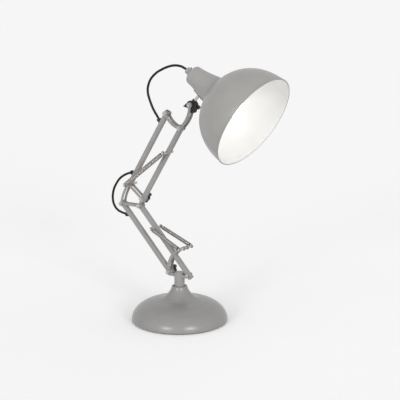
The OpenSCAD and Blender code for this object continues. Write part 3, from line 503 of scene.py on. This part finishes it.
def finish(name, colour, dark, scale, gloss, grain, depth, metal=0.0, stretch=(1, 1, 1), **sockets):
    """A procedural finish: mottled colour, uneven gloss and a fine bump on Object coordinates.

    dark is the darkest mottling as a share of the colour, gloss the least and most roughness, grain the
    fineness of the skin and depth its bump's strength. Other sockets of the shader are set by name.
    """
    mat = bpy.data.materials.new(name)
    mat.use_nodes = True
    nodes, links = mat.node_tree.nodes, mat.node_tree.links
    shader = nodes["Principled BSDF"]
    where, turn = nodes.new("ShaderNodeTexCoord"), nodes.new("ShaderNodeMapping")
    turn.inputs["Scale"].default_value = stretch
    links.new(where.outputs["Object"], turn.inputs["Vector"])
    mottle, skin = nodes.new("ShaderNodeGroup"), nodes.new("ShaderNodeGroup")
    mottle.node_tree, skin.node_tree = mottle_group(), grain_group()
    mottle.inputs["Light"].default_value = (*colour, 1.0)
    mottle.inputs["Dark"].default_value = (*(c * dark for c in colour), 1.0)
    mottle.inputs["Scale"].default_value = scale
    mottle.inputs["Smooth"].default_value, mottle.inputs["Rough"].default_value = gloss
    skin.inputs["Scale"].default_value = grain
    bump = nodes.new("ShaderNodeBump")
    bump.inputs["Strength"].default_value = depth
    bump.inputs["Distance"].default_value = BUMP_HEIGHT
    for group in (mottle, skin):
        links.new(turn.outputs["Vector"], group.inputs["Vector"])
    links.new(mottle.outputs["Color"], shader.inputs["Base Color"])
    links.new(mottle.outputs["Roughness"], shader.inputs["Roughness"])
    links.new(skin.outputs["Height"], bump.inputs["Height"])
    links.new(bump.outputs["Normal"], shader.inputs["Normal"])
    shader.inputs["Metallic"].default_value = metal
    for socket, value in sockets.items():
        shader.inputs[socket.replace("_", " ")].default_value = value
    finishes[name] = mat


class LAMP_OT_finishes(bpy.types.Operator):
    """Makes every procedural finish of the lamp"""

    bl_idname = "lamp.finishes"
    bl_label = "Finishes"

    def execute(self, context):
        p = context.scene.lamp_finishes
        finish("satin_paint", p.paint, dark=0.93, scale=38, gloss=(0.28, 0.36), grain=900, depth=0.10)
        # Painted shade: the arms' copy of the paint is darker than the shade's
        finish("shaded_arm_paint", p.arms, dark=0.92, scale=60, gloss=(0.28, 0.38), grain=900, depth=0.12)
        # Painted shade: the base's copy of the paint is darker still
        finish("shaded_cast_paint", p.casting, dark=0.92, scale=30, gloss=(0.24, 0.32), grain=500, depth=0.16)
        finish("white_enamel", p.enamel, dark=0.97, scale=30, gloss=(0.30, 0.42), grain=700, depth=0.08)
        finish("black_plastic", p.plastic, dark=0.75, scale=160, gloss=(0.36, 0.54), grain=2200, depth=0.25,
               Specular_IOR_Level=0.35)
        finish("plated_steel", p.steel, dark=0.80, scale=260, gloss=(0.24, 0.38), grain=1500, depth=0.10,
               metal=0.95, stretch=(1, 0.15, 1))
        finish("spring_wire", p.wire, dark=0.72, scale=420, gloss=(0.27, 0.37), grain=1800, depth=0.12,
               metal=0.9)
        finish("flex_sheath", p.flex, dark=0.8, scale=300, gloss=(0.48, 0.62), grain=2600, depth=0.18,
               Specular_IOR_Level=0.25)
        finish("black_iron", p.iron, dark=0.7, scale=120, gloss=(0.5, 0.65), grain=800, depth=0.4)
        finish("foam_pad", p.pad, dark=0.7, scale=300, gloss=(0.8, 0.95), grain=1800, depth=0.6)
        finish("cap_metal", p.cap, dark=0.85, scale=200, gloss=(0.25, 0.35), grain=1200, depth=0.1,
               metal=1.0)
        finish("opal_glass", p.opal, dark=0.97, scale=60, gloss=(0.12, 0.2), grain=600, depth=0.02,
               Emission_Color=(*p.glow, 1.0), Emission_Strength=p.glow_strength)
        return {"FINISHED"}


# Stage


class LAMP_OT_stage(bpy.types.Operator):
    """Puts the camera, the pale floor, the even sky and two soft lights in place"""

    bl_idname = "lamp.stage"
    bl_label = "Stage"

    def execute(self, context):
        scene, st = context.scene, context.scene.lamp_stage
        scene.view_settings.view_transform = "Standard"
        self.camera(scene, st)
        for name, strength, azimuth in (("key", st.key, st.key_from), ("fill", st.fill, st.fill_from)):
            self.light(scene, st, name, strength, azimuth)
        self.sky(scene, st)
        self.floor(st)
        return {"FINISHED"}

    def camera(self, scene, st):
        """A level camera that looks down by its elevation."""
        cam = bpy.data.objects.new("camera", bpy.data.cameras.new("camera"))
        cam.data.lens, cam.data.sensor_width, cam.data.sensor_fit = st.lens, SENSOR, "HORIZONTAL"
        cam.data.clip_end = VIEW_END
        cam.location = st.camera_at
        cam.rotation_euler = (QUARTER - st.elevation, 0.0, st.azimuth)
        scene.collection.objects.link(cam)
        scene.camera = cam

    def light(self, scene, st, name, strength, azimuth):
        """A broad sun from the given turn round the lamp."""
        lamp = bpy.data.lights.new(name, "SUN")
        lamp.energy, lamp.angle = strength, st.light_size
        obj = bpy.data.objects.new(name, lamp)
        level, height = math.cos(st.light_height), math.sin(st.light_height)
        to = Vector((math.sin(azimuth) * level, -math.cos(azimuth) * level, height))
        obj.rotation_euler = to.to_track_quat("Z", "Y").to_euler()
        scene.collection.objects.link(obj)

    def seen(self, nodes, links):
        """One for rays that show the background: from the camera, mirrored or through glass."""
        ray = nodes.new("ShaderNodeLightPath")
        total = ray.outputs["Is Camera Ray"]
        for kind in ("Is Glossy Ray", "Is Transmission Ray"):
            either = nodes.new("ShaderNodeMath")
            either.operation = "MAXIMUM"
            links.new(total, either.inputs[0])
            links.new(ray.outputs[kind], either.inputs[1])
            total = either.outputs[0]
        return total

    def sky(self, scene, st):
        """Even light all round; rays that show the background meet the pale ground's colour instead."""
        world = bpy.data.worlds.new("sky")
        world.use_nodes = True
        scene.world = world
        nodes, links = world.node_tree.nodes, world.node_tree.links
        light, back = nodes["Background"], nodes.new("ShaderNodeBackground")
        light.inputs["Color"].default_value = (1.0, 1.0, 1.0, 1.0)
        light.inputs["Strength"].default_value = st.sky
        back.inputs["Color"].default_value = (*st.ground, 1.0)
        mix = nodes.new("ShaderNodeMixShader")
        links.new(self.seen(nodes, links), mix.inputs["Fac"])
        links.new(light.outputs[0], mix.inputs[1])
        links.new(back.outputs[0], mix.inputs[2])
        links.new(mix.outputs[0], nodes["World Output"].inputs["Surface"])

    def floor(self, st):
        """A large round floor, plain, pale and matt, a little paler still where it shows as background."""
        v = np.linspace(0, 2 * np.pi, FLOOR_CORNERS, endpoint=False)
        ring = FLOOR_R * np.stack([np.cos(v), np.sin(v), np.zeros_like(v)], axis=1)
        mat = bpy.data.materials.new("floor")
        mat.use_nodes = True
        nodes, links = mat.node_tree.nodes, mat.node_tree.links
        shader = nodes["Principled BSDF"]
        shader.inputs["Base Color"].default_value = (*st.ground, 1.0)
        shader.inputs["Roughness"].default_value = 1.0
        shader.inputs["Specular IOR Level"].default_value = 0.0
        shader.inputs["Emission Color"].default_value = (1.0, 1.0, 1.0, 1.0)
        veil = nodes.new("ShaderNodeMath")
        veil.operation = "MULTIPLY"
        veil.inputs[1].default_value = st.veil
        links.new(self.seen(nodes, links), veil.inputs[0])
        links.new(veil.outputs[0], shader.inputs["Emission Strength"])
        no_quads = np.zeros((0, 4), int)
        floor = put_mesh("floor", ring, no_quads, [np.arange(FLOOR_CORNERS)], [mat])


# Pieces


class LAMP_OT_flex(bpy.types.Operator):
    """Lays the two flex loops, at the elbow and at the head, in pieces"""

    bl_idname = "lamp.flex"
    bl_label = "Flex loops"

    def execute(self, context):
        self.elbow_loop()
        self.head_loop()
        return {"FINISHED"}

    def elbow_loop(self):
        """From the upper rear bar to the lower one, in two halves cut at a point of the route."""
        start = self.bush(ELBOW_TOP, UPPER_LEAN, UPPER_BUSH)
        end = self.bush(REAR_PIVOT, LOWER_LEAN, LOWER_BUSH)
        line = self.route(start, ELBOW_ROUTE, ELBOW_TOP, end)
        x, z = ELBOW_CUT
        outermost = ELBOW_TOP + np.array([x, 0.0, z]) * MM
        mid = int(np.argmin(np.linalg.norm(line - outermost, axis=1)))
        self.piece("elbow_flex_upper", line[:mid + 1], "upper_rear", "elbow", "elbow_cord")
        self.piece("elbow_flex_lower", line[mid:][::-1], "lower_rear", "elbow", "elbow_cord")

    def head_loop(self):
        """From the gland to the upper rear bar, in four pieces cut at given distances from the gland."""
        tip, axis = shade_frame()
        start = (tip - sizes().gland_len * axis, -axis)
        end = self.bush(ELBOW_TOP, UPPER_LEAN, HEAD_BUSH)
        line = self.route(start, HEAD_ROUTE, HEAD_REAR, end)
        run = run_of(line)
        turned, mid, tilted = (int(np.argmin(np.abs(run - cut * MM))) for cut in HEAD_CUTS)
        loop, fall = line[turned:mid + 1], line[mid:tilted + 1]
        self.piece("head_flex_gland", line[:turned + 1], "head", "knuckle", "head_cord")
        self.piece("head_flex_loop", loop, "knuckle", "head_bracket", "head_cord", high=HEAD_SHARE)
        self.piece("head_flex_fall", fall, "knuckle", "head_bracket", "head_cord", low=HEAD_SHARE)
        self.piece("head_flex_bar", line[tilted:][::-1], "upper_rear", "head_bracket", "head_cord")

    def bush(self, p, lean, seat):
        """End of a cord bush on the outer face of a bar, and the direction in which the flex leaves it."""
        s = sizes()
        d, tilt = seat
        along, across = bar_axes(lean)
        way = math.sin(tilt) * along - math.cos(tilt) * across
        return bar_point(p, lean, d, -s.bar_w / 2) + s.bush_out * way, way

    def route(self, start, offsets, hang, end):
        """Smooth line from seat to seat over the route's points, straight for a diameter at each end."""
        d = 2 * sizes().flex_r
        middle = [hang + np.array([x, 0.0, z]) * MM for x, z in offsets]
        points = [start[0], start[0] + d * start[1], *middle, end[0] + d * end[1], end[0]]
        return smooth_line(points, ROUTE_STEP)

    def piece(self, name, line, held, free, node, low=0.0, high=1.0):
        """One stretch of flex: a tube along its line, which takes the place of the cord's solid."""
        s = sizes()
        across = np.tile(Y_AXIS, (len(line), 1))
        obj = sweep(name, line, across, s.flex_r, sides=20, slots=[finishes["flex_sheath"]])
        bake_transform(obj)
        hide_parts(node)


class LAMP_OT_springs(bpy.types.Operator):
    """Winds the two lower springs and the upper spring with their hooks"""

    bl_idname = "lamp.springs"
    bl_label = "Springs"

    def execute(self, context):
        s = sizes()
        lower = (s.lower_coil, s.lower_wire, s.lower_curls)
        pin = bar_point(FRONT_PIVOT, LOWER_LEAN, s.pin_up, 0.0)
        for side, name in ((-Y_AXIS, "lower_spring_near"), (Y_AXIS, "lower_spring_far")):
            a, b = SPRING_ANCHOR + s.anchor_side * side, pin + s.pin_side * side
            self.spring(a, b, lower, LOWER_CUT, "turret", "lower_front", name)
        upper = (s.upper_coil, s.upper_wire, s.upper_curls)
        near = -s.upper_side * Y_AXIS
        a, b = ELBOW_TOP + near, bar_point(ELBOW_CLAMP, UPPER_LEAN, s.pin_up, 0.0) + near
        self.spring(a, b, upper, UPPER_CUT, "elbow", "upper_front", "upper_spring")
        return {"FINISHED"}

    def spring(self, a, b, winding, cut, held, free, node):
        """Hook round pin a, a helix along the line to b, hook round pin b, in two pieces.

        winding gives the coil's outer radius, the wire's thickness and the curls. The wire is cut in two at a
        part of its length.
        """
        coil, wire, curls = winding
        part, share = cut
        line, across = self.wire_line(a, b, coil - wire / 2, curls)
        middle = a + part * (b - a)
        k = int(np.argmin(np.abs((line - middle) @ unit(b - a))))
        for end, span, p, q, low, high in (
            ("_foot", slice(None, k + 1), a, middle, 0.0, share),
            ("_body", slice(k, None), middle, b, share, 1.0),
        ):
            obj = sweep("wound_" + node + end, line[span], across[span], wire / 2, sides=10,
                        slots=[finishes["spring_wire"]])
            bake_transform(obj)
            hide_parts(node)

    def wire_line(self, a, b, mean, curls):
        """Points of the wire and directions square to it: arc round a, leg, helix, leg, arc round b.

        The helix keeps the mean radius from the line a to b and rises evenly; the legs run straight.
        """
        lead = sizes().hook_lead
        axis = unit(b - a)
        across = unit(np.cross(Y_AXIS, axis))
        up = np.cross(axis, across)
        body = np.linalg.norm(b - a) - 2 * lead
        f = np.linspace(-HOOK_TURN, 0, HOOK_POINTS)[:, None]
        first = np.cos(f) * across + np.sin(f) * axis
        last = np.cos(-f[::-1]) * across + np.sin(-f[::-1]) * axis
        steps = curls * CURL_POINTS
        i = np.arange(LEG_SKIP, steps - LEG_SKIP + 1)[:, None]
        g = 2 * np.pi * i / CURL_POINTS
        round_axis = np.cos(g) * across + np.sin(g) * up
        rise = LEG_PARTS * (lead - LEG_SHORT * mean)
        legs = np.repeat(across[None], len(LEG_PARTS), axis=0)
        line = np.vstack([
            a + mean * first, a + mean * across + rise * axis,
            a + (lead + body * i / steps) * axis + mean * round_axis,
            b + mean * across - rise[::-1] * axis, b + mean * last,
        ])
        return line, np.vstack([first, legs, round_axis, legs, last])


class LAMP_OT_base(bpy.types.Operator):
    """Spins the domed base with its flared neck"""

    bl_idname = "lamp.base"
    bl_label = "Base"

    def execute(self, context):
        s = sizes()
        r = s.neck_foot_r + (s.base_r - s.neck_foot_r) * np.sin(np.linspace(0, QUARTER, LONG_CURVE))
        dome = np.stack([r, self.dome_z(r)], axis=1)
        rim_round = s.rim_z - s.shell_low
        edge = arc((s.base_r - rim_round, s.rim_z), rim_round, 0, -QUARTER, count=10)[1:]
        lip_mid = (s.neck_top_r - s.neck_lip, s.neck_top_z - s.neck_lip)
        top = arc(lip_mid, s.neck_lip, QUARTER, 0, count=8)
        # The neck's own curve starts clear of the rounded lip
        neck = self.neck(dome[0])
        neck = neck[neck[:, 1] < s.neck_top_z - 1.2 * s.neck_lip]
        inside_r = s.base_r - s.shell_wall
        inner = offset_line(dome, s.shell_wall)[::-1]
        inner[:, 0] = np.minimum(inner[:, 0], inside_r)
        ceiling = dome[0, 1] + s.ceiling_lift
        profile = np.vstack([
            [[s.neck_bore, ceiling], [s.neck_bore, s.neck_top_z]], top, neck, dome[1:], edge,
            [[inside_r, s.shell_low]], inner, [[s.ceiling_r, ceiling]],
        ])
        # The dome takes the darkest copy of the paint, which is painted shade
        obj = revolve("base_dome", profile[::-1], np.zeros(3), Z_AXIS, [finishes["shaded_cast_paint"]],
                      turns=224, sharp=28.0)
        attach(obj, "base")
        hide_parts("base_shell")
        return {"FINISHED"}

    def dome_z(self, r):
        """Height of the dome: rim height plus the rise times (1 - (r / R)^2.95)^0.49."""
        s = sizes()
        power, root = DOME_POWERS
        return s.rim_z + s.dome_rise * (1 - np.clip(r / s.base_r, 0, 1) ** power) ** root

    def neck(self, foot):
        """Cubic curve from the neck's top, straight down at first, to the dome, along it at the end."""
        s = sizes()
        near = s.neck_foot_r + 0.01 * MM
        slope = (self.dome_z(near) - foot[1]) / (near - foot[0])
        top = np.array([s.neck_top_r, s.neck_top_z])
        below = top - np.array([0.0, s.neck_drop])
        run_out = foot - s.neck_sweep * np.array([1.0, slope])
        t = np.linspace(0, 1, SHORT_CURVE)[:, None]
        upper = (1 - t) ** 3 * top + 3 * t * (1 - t) ** 2 * below
        return upper + 3 * t**2 * (1 - t) * run_out + t**3 * foot


class LAMP_OT_head(bpy.types.Operator):
    """Spins the shade, its socket cup and the bulb"""

    bl_idname = "lamp.head"
    bl_label = "Head"

    # A roll starts a little outside the sheet; the shade's runs round to its inside, the cup's to its mouth
    roll_from, shade_roll_to, cup_roll_to = -0.42 * math.pi, 1.32 * math.pi, QUARTER
    # Points of the shade's roll, and how many of them are still painted grey
    roll_points, roll_grey = 22, 14

    def execute(self, context):
        tip, axis = shade_frame()
        self.shade(tip, axis)
        self.cup(tip, axis)
        self.bulb(tip, axis)
        return {"FINISHED"}

    def shade(self, tip, axis):
        """Outside r = R (1 - u^2.16)^(1/2.2), u falling from cup to rim; the inside lies one sheet in."""
        s = sizes()
        power, ease = SHADE_POWERS
        lead = s.shade_len / (1 - (s.cup_base_r / s.shade_r) ** ease) ** (1 / power) - s.shade_len
        t = s.shade_len * (1 - np.cos(np.linspace(0, QUARTER, LONG_CURVE)))
        r = s.shade_r * (1 - ((s.shade_len - t) / (s.shade_len + lead)) ** power) ** (1 / ease)
        outer = np.stack([r, s.cup_len + t], axis=1)
        inner = offset_line(outer, -s.sheet)[:-1][::-1]
        outer = outer[:-1]
        rim = (s.shade_r - s.sheet / 2, s.cup_len + s.shade_len)
        bead = arc(rim, s.bead_r, self.roll_from, self.shade_roll_to, self.roll_points)
        profile = np.vstack([
            [[s.shade_hole, s.cup_len + s.seat_gap]], outer, bead, inner,
            [[s.shade_hole, s.cup_len + s.sheet]],
        ])
        white = np.arange(len(profile)) > len(outer) + self.roll_grey
        obj = revolve("spun_shade", profile, tip, axis, [finishes["satin_paint"], finishes["white_enamel"]],
                      white, turns=224, sharp=40.0)
        self.keep(obj, "shade", "spun_paint")

    def cup(self, tip, axis):
        """Flared cup, one sheet thick, with a rounded closed end and a fine roll where it meets the shade."""
        s = sizes()
        v = np.linspace(0, QUARTER, ROUNDING)
        along = s.cup_round * (1 - np.cos(v))
        edge = np.stack([cup_radius(along) - s.cup_round * (1 - np.sin(v)), along], axis=1)
        # The flare ends clear of the roll
        along = np.linspace(s.cup_round, s.cup_len - 1.7 * s.cup_roll, SHORT_CURVE)[1:]
        outer = np.vstack([edge, np.stack([cup_radius(along), along], axis=1)])
        inner = offset_line(outer, -s.sheet)[::-1]
        mouth = (s.cup_base_r, s.cup_len - s.cup_roll)
        lip = arc(mouth, s.cup_roll, self.roll_from, self.cup_roll_to, count=10)
        profile = np.vstack([
            [[s.cup_bore, 0.0]], outer, lip, [[s.cup_base_r - s.sheet, s.cup_len]], inner,
            [[s.cup_bore, s.sheet]],
        ])
        obj = revolve("spun_cup", profile, tip, axis, [finishes["satin_paint"]])
        self.keep(obj, "socket_cup", "spun_paint")

    def bulb(self, tip, axis):
        """Ball on a short neck: the profile runs from the cap round the ball to its pole."""
        s = sizes()
        meet = math.asin((s.bulb_neck + s.bulb_flare) / s.bulb_r)
        mid = (0.0, s.bulb_at + s.bulb_len - s.bulb_r)
        ball = arc(mid, s.bulb_r, meet - QUARTER, QUARTER, SHORT_CURVE)
        ball[-1, 0] = 0.0
        profile = np.vstack([[[0.0, s.bulb_at], [s.bulb_neck, s.bulb_at]], ball])
        obj = revolve("opal_bulb", profile, tip, axis, [finishes["opal_glass"]], turns=64)
        self.keep(obj, "bulb_glass", "bulb")

    def keep(self, obj, node, slot):
        """A piece of the head takes the place of its solid."""
        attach(obj, "head")
        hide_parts(node)


class LAMP_OT_paint_solids(bpy.types.Operator):
    """Gives every solid that still shows its finish"""

    bl_idname = "lamp.paint_solids"
    bl_label = "Paint solids"

    # Solids of the paint slot take the darker copy of the paint, which is painted shade
    looks = {
        "paint": "shaded_arm_paint", "spun_paint": "satin_paint", "black": "black_plastic",
        "steel": "plated_steel", "spring": "spring_wire", "iron": "black_iron", "pad": "foam_pad",
        "flex": "flex_sheath", "bulb": "opal_glass", "cap": "cap_metal",
    }

    def execute(self, context):
        slot_of = {p["node"]: p["material_slot"] for p in frame["record"]["subparts"]}
        for name, obj in frame["nodes"].items():
            obj.data.materials.clear()
            obj.data.materials.append(finishes[self.looks[slot_of[name]]])
        return {"FINISHED"}


class LAMP_PT_panel(bpy.types.Panel):
    """Lists the steps and the settings"""

    bl_label = "Task Lamp"
    bl_idname = "LAMP_PT_panel"
    bl_space_type = "VIEW_3D"
    bl_region_type = "UI"
    bl_category = "Task Lamp"

    def draw(self, context):
        for operator in OPERATORS:
            self.layout.operator(operator.bl_idname)
        for group in (context.scene.lamp_sizes, context.scene.lamp_finishes, context.scene.lamp_stage):
            box = self.layout.box()
            for key in group.__annotations__:
                box.prop(group, key)


OPERATORS = (
    LAMP_OT_finishes, LAMP_OT_stage, LAMP_OT_flex, LAMP_OT_springs, LAMP_OT_base, LAMP_OT_head,
    LAMP_OT_paint_solids,
)
CLASSES = (LampSizes, LampFinishes, LampStage, *OPERATORS, LAMP_PT_panel)


def register():
    """Registers the classes and hangs the settings on the scene."""
    for cls in CLASSES:
        bpy.utils.register_class(cls)
    bpy.types.Scene.lamp_sizes = bpy.props.PointerProperty(type=LampSizes)
    bpy.types.Scene.lamp_finishes = bpy.props.PointerProperty(type=LampFinishes)
    bpy.types.Scene.lamp_stage = bpy.props.PointerProperty(type=LampStage)


def unregister():
    """Takes away what register() added."""
    for name in ("lamp_sizes", "lamp_finishes", "lamp_stage"):
        delattr(bpy.types.Scene, name)
    for cls in reversed(CLASSES):
        bpy.utils.unregister_class(cls)


def main():
    register()
    bpy.ops.lamp.finishes()
    bpy.ops.lamp.stage()
    bpy.ops.lamp.flex()
    bpy.ops.lamp.springs()
    bpy.ops.lamp.base()
    bpy.ops.lamp.head()
    bpy.ops.lamp.paint_solids()


if __name__ == "__main__":
    main()
